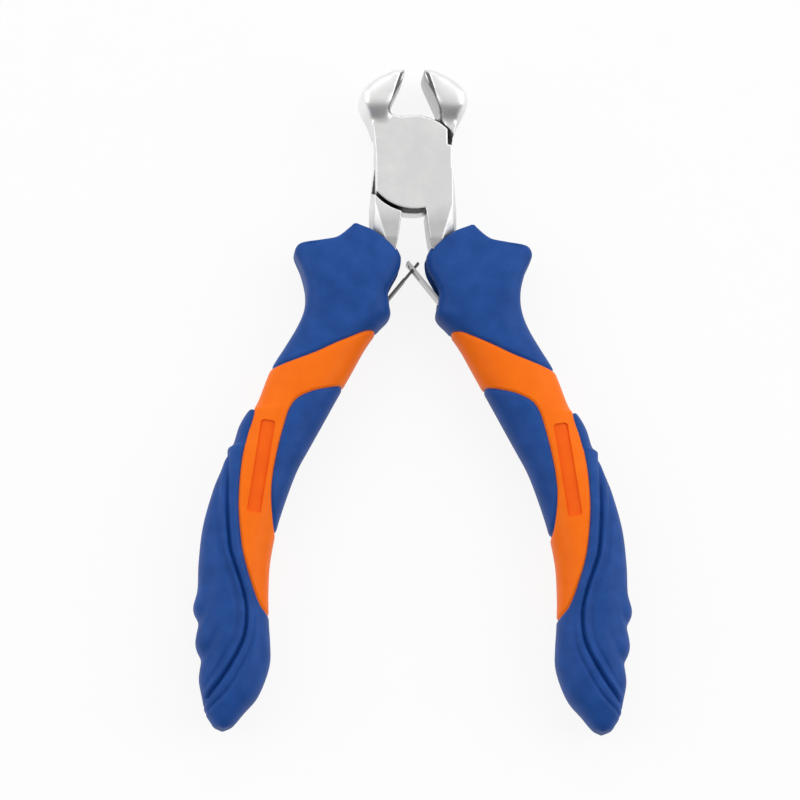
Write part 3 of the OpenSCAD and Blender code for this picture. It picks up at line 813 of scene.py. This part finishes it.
mouth_half = MID_Z + SOCKET_CLEAR
mouth = prism("mouth_cutter", mouth_outline, -mouth_half, mouth_half)
room_edge = tang_inner[tang_inner[:, 1] > ROOM_FOOT[1]] + np.array([ROOM_OVERLAP, 0])
room_outline = np.vstack([room_edge, [ROOM_FOOT, ROOM_EXIT, (LEFT_X, ROOM_EXIT[1]), (LEFT_X, 0)]])
spring_room = prism("spring_room_cutter", room_outline, -SPRING_ROOM, SPRING_ROOM)
print(f"socket {2 * socket_half:.1f} mm high, room for the spring {2 * SPRING_ROOM:.1f} mm")

# %% The blue shells
point_count = len(skin)
top_ring = [(TOP_CENTRE, (side + 1) % side_count, side) for side in range(side_count)]
last_ring = (ring_count - 1) * side_count
end_ring = [
    (END_CENTRE, last_ring + side, last_ring + (side + 1) % side_count) for side in range(side_count)
]
CAPS = {"collar": top_ring, "finger_pad": [], "palm_pad": end_ring}


def blue_shell(zone_name, under):
    """One blue piece of the right grip: skin, under-skin and the walls between them."""
    zone = list(ZONES).index(zone_name)
    faces = [face for _, face in blue_faces[zone]] + CAPS[zone_name]
    backs = [[p + point_count for p in reversed(face)] for face in faces]
    walls = [(q, p, p + point_count, q + point_count) for p, q in cut_edges[zone]]
    both_skins = np.vstack([skin, under])
    return mesh_piece(f"right_{zone_name}_moulding", both_skins, faces + backs + walls, SOFT_BLUE)


grips = {
    "collar": blue_shell("collar", under_collar),
    "finger_pad": blue_shell("finger_pad", under_cover),
    "palm_pad": blue_shell("palm_pad", under_cover),
}
print({part: len(shell.data.polygons) for part, shell in grips.items()}, "faces in the blue shells")

# %% The orange core
first_row = int(np.searchsorted(grip_rows[:, 0], CORE_TOP))
last_row = int(np.searchsorted(grip_rows[:, 0], CORE_END))
core_points = np.vstack([skin, core_skin])
core_faces = [face for row, face in orange_faces if first_row <= row < last_row]
for zone in blue_faces:
    core_faces += [
        [p + point_count for p in face] for row, face in blue_faces[zone] if first_row <= row < last_row
    ]
    core_faces += [(p, q, q + point_count, p + point_count) for p, q in cut_edges[zone]]
core_faces.append([point_count + first_row * side_count + side for side in reversed(range(side_count))])
core_faces.append([point_count + last_row * side_count + side for side in range(side_count)])
grips["core"] = mesh_piece("right_core_moulding", core_points, core_faces, HARD_ORANGE)
print(f"core of {len(core_faces)} faces")

# %% [markdown]
# A long sunk panel lies on both faces of the orange band, plain, and painted a little darker as painted
# shade in the recess. Its cutter follows the curved face: for every place in the panel the height of the
# face is worked out, and the floor lies a little below it.

# %% Cutters for the plain sunk panels
PANEL_TOP, PANEL_LEAN = np.array([24.5, -44.7]), math.radians(9)
PANEL_WIDTH, PANEL_LENGTH, PANEL_DEPTH, PANEL_CORNER = 2.4, 16, 0.3, 0.4
PANEL_REACH, PANEL_ROWS, PANEL_COLUMNS = 8, 64, 13


def face_height(x, y):
    """Height of the plain grip face above the middle plane."""
    inner, outer, thick = (np.interp(-y, grip_rows[:, 0], grip_rows[:, k]) for k in (1, 2, 3))
    aside = np.abs(2 * x - inner - outer) / (outer - inner)
    return thick * (1 - aside**PALM_SQUARE) ** (1 / PALM_SQUARE)


def block_between(name, low, high):
    """A closed block between two matching grids of points."""
    rows, columns = low.shape[:2]
    number = np.arange(rows * columns).reshape(rows, columns)
    count = rows * columns
    corners = np.stack([number[:-1, :-1], number[1:, :-1], number[1:, 1:], number[:-1, 1:]], axis=-1)
    low_faces = corners.reshape(-1, 4).tolist()
    high_faces = (corners[..., ::-1].reshape(-1, 4) + count).tolist()
    rim = [*number[0], *number[1:, -1], *number[-1, -2::-1], *number[-2:0:-1, 0]]
    walls = [(a, b, b + count, a + count) for a, b in zip(rim, rim[1:] + rim[:1])]
    points = np.vstack([low.reshape(-1, 3), high.reshape(-1, 3)])
    block = mesh_piece(name, points, low_faces + high_faces + walls, SHADED_PANEL_ORANGE)
    shape = bmesh.new()
    shape.from_mesh(block.data)
    bmesh.ops.recalc_face_normals(shape, faces=shape.faces)
    shape.to_mesh(block.data)
    shape.free()
    return block


def panel_cutter(side):
    """A block over one face's panel, whose floor follows the face."""
    down = np.linspace(0, PANEL_LENGTH, PANEL_ROWS)
    from_end = np.minimum(np.minimum(down, PANEL_LENGTH - down), PANEL_CORNER)
    rounding = PANEL_CORNER - np.sqrt(PANEL_CORNER**2 - (PANEL_CORNER - from_end) ** 2)
    across = np.linspace(-1, 1, PANEL_COLUMNS) * (PANEL_WIDTH / 2 - rounding)[:, None]
    x = PANEL_TOP[0] + down[:, None] * math.sin(PANEL_LEAN) + across * math.cos(PANEL_LEAN)
    y = PANEL_TOP[1] - down[:, None] * math.cos(PANEL_LEAN) + across * math.sin(PANEL_LEAN)
    floor_points = np.stack([x, y, side * (face_height(x, y) - PANEL_DEPTH)], axis=-1)
    lid_points = np.stack([x, y, np.full(x.shape, side * PANEL_REACH)], axis=-1)
    return block_between("panel_cutter", floor_points, lid_points)


front_panel, back_panel = panel_cutter(1), panel_cutter(-1)
print(f"panels {PANEL_LENGTH} by {PANEL_WIDTH} mm, {PANEL_DEPTH} mm deep")

# %% Thin out, cut, then turn copies over for the left grip
KEEP = {"collar": 0.16, "finger_pad": 0.16, "palm_pad": 0.3, "core": 0.2}
GRIP_CRISP = 40
for part, right in grips.items():
    thin_out(right, KEEP[part])
cut_with(grips["collar"], socket, mouth, spring_room)
cut_with(grips["core"], socket)
# The panels' floors and walls take the cutter's darker orange, which is painted shade.
cut_with(grips["core"], front_panel, back_panel, finish="TRANSFER")
for cutter in (socket, mouth, spring_room, front_panel, back_panel):
    bpy.data.objects.remove(cutter)
for part, right in grips.items():
    close_up(right)
    shade(right, GRIP_CRISP)
    left = right.copy()
    left.data = right.data.copy()
    left.name = f"left_{part}_moulding"
    left.data.transform(TURN_OVER)
    scene.collection.objects.link(left)
    for piece, side, body in ((right, "right", "front_lever"), (left, "left", "rear_lever")):
        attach(piece, body)
        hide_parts(f"{side}_grip_{part}")

# %% [markdown]
# ## The forged halves
# Each half is one forging: a jaw, a flat lap plate and a tang. Its outline comes from the CAD solid, but a
# forging has no knife-sharp corners. The CAD shape is copied, its rivet hole is plugged and a web fills the
# corner between jaw and plate. It is remade from small cubes of space and its neck is drawn steeper. Then
# every point moves a little towards the mean of its neighbours, again and again, which wears the corners
# round. The outer side of the jaw gets many more rounds, because it is a smooth lobe on the real tool. The
# seat in the lap gets none of those, so that the other half's rim still fits in it.

# %% Remake one half from small cubes
VOXEL = 0.12
PLUG_RADIUS, PLUG_SIDES, PLUG_START = 3.7, 64, 0.1
CAD_WELD = 0.0001
JAW_WEB = [
    (-4.4, 9.3), (-5.4, 9.3), (-5.4, 7), (-4, 6.4), (-1.7, 7), (-1.7, 7.9), (-2.8, 7.93), (-3.5, 8.15),
    (-4, 8.55),
]


def lathe(name, profile, sides, material):
    """A solid turned about the pivot from (radius, height) points, bottom to top, in millimetres."""
    turns = np.arange(sides) * 2 * np.pi / sides
    rings = [
        np.column_stack([radius * np.cos(turns), radius * np.sin(turns), np.full(sides, height - MID_Z)])
        for radius, height in profile
    ]
    faces = [list(range(sides))[::-1], [(len(profile) - 1) * sides + k for k in range(sides)]]
    for low in range(0, (len(profile) - 1) * sides, sides):
        for k in range(sides):
            after = (k + 1) % sides
            faces.append((low + k, low + after, low + sides + after, low + sides + k))
    return mesh_piece(name, np.vstack(rings), faces, material)


plate_top = 2 * MID_Z
plug_profile = [(PLUG_RADIUS, MID_Z + PLUG_START), (PLUG_RADIUS, plate_top)]
plug = lathe("plug", plug_profile, PLUG_SIDES, FORGED_STEEL)
web = prism("web", JAW_WEB, PLUG_START, plate_top - MID_Z)
forging_data = bmesh.new()
forging_data.from_mesh(nodes["front_half"].data)
forging_data.from_mesh(plug.data)
forging_data.from_mesh(web.data)
bmesh.ops.remove_doubles(forging_data, verts=forging_data.verts, dist=CAD_WELD * MM)
bmesh.ops.scale(forging_data, vec=(1 / MM, 1 / MM, 1 / MM), verts=forging_data.verts)
forging_mesh = bpy.data.meshes.new("front_forging")
forging_data.to_mesh(forging_mesh)
forging_data.free()
bpy.data.objects.remove(plug)
bpy.data.objects.remove(web)
front = bpy.data.objects.new("front_forging", forging_mesh)
scene.collection.objects.link(front)
remake = front.modifiers.new("remake", "REMESH")
remake.mode = "VOXEL"
remake.voxel_size = VOXEL
apply_modifiers(front)
print(f"forging remade with {len(front.data.polygons)} faces")

# %% Wear the corners round and crown the jaw
SOFTEN_SHARE, SOFTEN_ROUNDS, JAW_ROUNDS = 0.5, 5, 360
JAW_SIDE, JAW_FOOT, JAW_BLEND, JAW_TOP, JAW_RIM = 3.4, 6.3, 1.4, 8.6, 0.8
JAW_HALF, FLARE_START, FLARE_LENGTH, FLARE_POWER, NECK_LENGTH = 6, 7.2, 3.8, 0.75, 2.4
CROWN_CENTRE, CROWN, CROWN_FOOT, CROWN_RUN = np.array([-5.2, 12.2]), 0.01, 8, 2.5
SEAT_RADIUS, SEAT_HALF = 8.8, 1.5


def soften(points, links, share, rounds):
    """Moves points towards the mean of their neighbours, each by its own share, round after round."""
    count = np.bincount(links.ravel(), minlength=len(points))
    ways = np.vstack([links, links[:, ::-1]])
    for _ in range(rounds):
        sums = [np.bincount(ways[:, 0], points[ways[:, 1], axis], len(points)) for axis in range(3)]
        points = points + share * (np.column_stack(sums) / np.maximum(count, 1)[:, None] - points)
    return points


places = np.empty(len(front.data.vertices) * 3)
front.data.vertices.foreach_get("co", places)
places = places.reshape(-1, 3)
links = np.empty(len(front.data.edges) * 2, int)
front.data.edges.foreach_get("vertices", links)
links = links.reshape(-1, 2)
thicken = JAW_HALF - MID_Z
climb = np.clip(places[:, 1] - FLARE_START, 0, None)
drawn = MID_Z + thicken * ease(np.minimum(climb / FLARE_LENGTH, 1) ** FLARE_POWER)
wanted = MID_Z + thicken * ease(climb / NECK_LENGTH)
outside, beyond = -places[:, 0] - JAW_SIDE, places[:, 1] - JAW_TOP
of_jaw = np.maximum(ease(outside / JAW_RIM), ease(beyond / JAW_RIM))
above = (places[:, 2] - MID_Z) * (1 + of_jaw * (wanted / drawn - 1))
places[:, 2] = MID_Z + np.clip(above, -JAW_HALF, JAW_HALF)
places = soften(places, links, SOFTEN_SHARE, SOFTEN_ROUNDS)
lobe = ease((-places[:, 0] - JAW_SIDE) / JAW_BLEND) * ease((places[:, 1] - JAW_FOOT) / JAW_BLEND)
in_seat = np.hypot(places[:, 0], places[:, 1]) < SEAT_RADIUS
lobe[in_seat & (np.abs(places[:, 2] - MID_Z) < SEAT_HALF)] = 0
lobe_links = links[lobe[links].max(axis=1) > 0]
places = soften(places, lobe_links, SOFTEN_SHARE * lobe[:, None], JAW_ROUNDS)
jaw = ease((places[:, 1] - CROWN_FOOT) / CROWN_RUN)
fall = CROWN * np.sum((places[:, :2] - CROWN_CENTRE) ** 2, axis=1) * jaw
depth = (places[:, 2] - MID_Z) / (plate_top - MID_Z)
places[:, 2] -= np.sign(depth) * np.minimum(np.abs(depth), 1) * fall
front.data.vertices.foreach_set("co", places.ravel())
print(f"{int((lobe > 0).sum())} points in the jaw's outer side")

# %% Thin out the tang where the grip hides it
HIDDEN_BELOW, KEEP_HIDDEN, HIDDEN_FIRST = -18, 0.03, 1000
hidden = front.vertex_groups.new(name="hidden")
below = places[:, 1] < HIDDEN_BELOW
hidden.add(np.flatnonzero(below).tolist(), 1, "REPLACE")
thin = front.modifiers.new("thin", "DECIMATE")
thin.ratio = 1 - below.mean() * (1 - KEEP_HIDDEN)
thin.vertex_group = "hidden"
thin.vertex_group_factor = HIDDEN_FIRST
apply_modifiers(front)
front.data.transform(Matrix.Scale(MM, 4))
front.data.materials.clear()
front.data.materials.append(FORGED_STEEL)
tang_foot = min(vertex.co.y for vertex in front.data.vertices) / MM
print(f"forging thinned to {len(front.data.polygons)} faces, with the tang's end at {tang_foot:.1f} mm")

# %% [markdown]
# The rivet is set hot and ground off level with the plates, which is why no head shows. It is turned from
# one profile, and the same profile, a hair larger, cuts its hole in both plates. The faces in the lap and
# on the plates' rims are then painted near black, as painted shade of the gaps between the halves, and the
# inner walls of the jaws a darker grey, as painted shade where they face each other. The second half is the
# first one turned over, as on the real tool.

# %% Rivet, its hole, and painted shade on some faces
SHANK_R, HEAD_R, HEAD_T, RIVET_SINK, RIVET_CLEAR = 2.5, 3.5, 1.5, 0.002, 0.004
HEAD_RIM, CUT_OVER, RIVET_SIDES, RIVET_CRISP, FORGING_CRISP = 0.05, 1, 96, 30, 50
LAP_NEAR, RIM_IN, RIM_OUT, SHOULDER_OUT, RIM_SIDE = 0.3, 7.5, 8.25, 8.85, 6.2
WALL_FOOT, LEVEL, INWARD = 8.4, 0.6, 0.5


def rivet_profile(clear, over):
    """The countersunk rivet's profile, grown by a clearance and carried past the faces."""
    low, high = RIVET_SINK - over, plate_top - RIVET_SINK + over
    return [
        (HEAD_R + clear, low), (HEAD_R + clear, RIVET_SINK + HEAD_RIM), (SHANK_R + clear, HEAD_T),
        (SHANK_R + clear, plate_top - HEAD_T), (HEAD_R + clear, plate_top - RIVET_SINK - HEAD_RIM),
        (HEAD_R + clear, high),
    ]


def paint_shade_on_faces(piece, rim_in):
    """Painted shade: near black in the lap and on the rims outside a radius, darker grey on the jaw's inner
    wall.
    """
    count = len(piece.data.polygons)
    centres, facing = np.empty(count * 3), np.empty(count * 3)
    piece.data.polygons.foreach_get("center", centres)
    piece.data.polygons.foreach_get("normal", facing)
    x, y, z = centres.reshape(-1, 3).T / MM
    sideways, _, upright = facing.reshape(-1, 3).T
    level = np.abs(upright) > LEVEL
    steep = np.abs(upright) < LEVEL
    radius = np.hypot(x, y)
    lap = (np.abs(z - MID_Z) < LAP_NEAR) & level
    outer = np.where(y < 0, SHOULDER_OUT, RIM_OUT)
    rim = steep & (radius > rim_in) & (radius < outer) & (np.abs(x) < RIM_SIDE)
    wall = (np.sign(-x) * sideways > INWARD) & (y > WALL_FOOT) & steep
    # Index 1 is painted shade of the gaps, and index 2 is painted shade on the jaws' inner walls.
    finish = np.where(lap | rim, 1, np.where(wall, 2, 0))
    piece.data.polygons.foreach_set("material_index", finish.astype(np.int32))
    return int((lap | rim).sum())


rivet = lathe("rivet", rivet_profile(0, 0), RIVET_SIDES, FORGED_STEEL)
rivet_cutter = lathe("rivet_cutter", rivet_profile(RIVET_CLEAR, CUT_OVER), RIVET_SIDES, FORGED_STEEL)
cut_with(front, rivet_cutter)
close_up(front)
bpy.data.objects.remove(rivet_cutter)
# The two extra slots hold painted shade: near black for the gaps, darker grey for the inner walls.
front.data.materials.append(GAP_SHADE_STEEL)
front.data.materials.append(SHADED_WALL_STEEL)
shade(rivet, RIVET_CRISP)
shade(front, FORGING_CRISP)
rear = front.copy()
rear.data = front.data.copy()
rear.name = "rear_forging"
rear.data.transform(TURN_OVER)
scene.collection.objects.link(rear)
print(f"dark faces: {paint_shade_on_faces(front, RIM_IN)} in front, {paint_shade_on_faces(rear, RIM_OUT)} behind")
for piece, body, node in (
    (front, "front_lever", "front_half"),
    (rear, "rear_lever", "rear_half"),
    (rivet, "front_lever", "pivot_rivet"),
):
    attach(piece, body)
    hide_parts(node)

# %% [markdown]
# ## Springs and pins
# The leaf springs are plain strips with a rolled eye, and the pins are plain rods inside the tangs. Their
# CAD shapes are already right, so they only get their finish: the left leaf is painted dark grey as painted
# shade, the right one bright.

# %% Finish the CAD pieces that stay
# The left leaf's dark grey is painted shade.
STAYING = {
    "left_spring_leaf": SHADED_LEAF, "right_spring_leaf": LIGHT_LEAF,
    "left_spring_pin": LIGHT_LEAF, "right_spring_pin": LIGHT_LEAF,
}
for node, finish in STAYING.items():
    nodes[node].data.materials.clear()
    nodes[node].data.materials.append(finish)
print("kept from the frame:", ", ".join(STAYING))
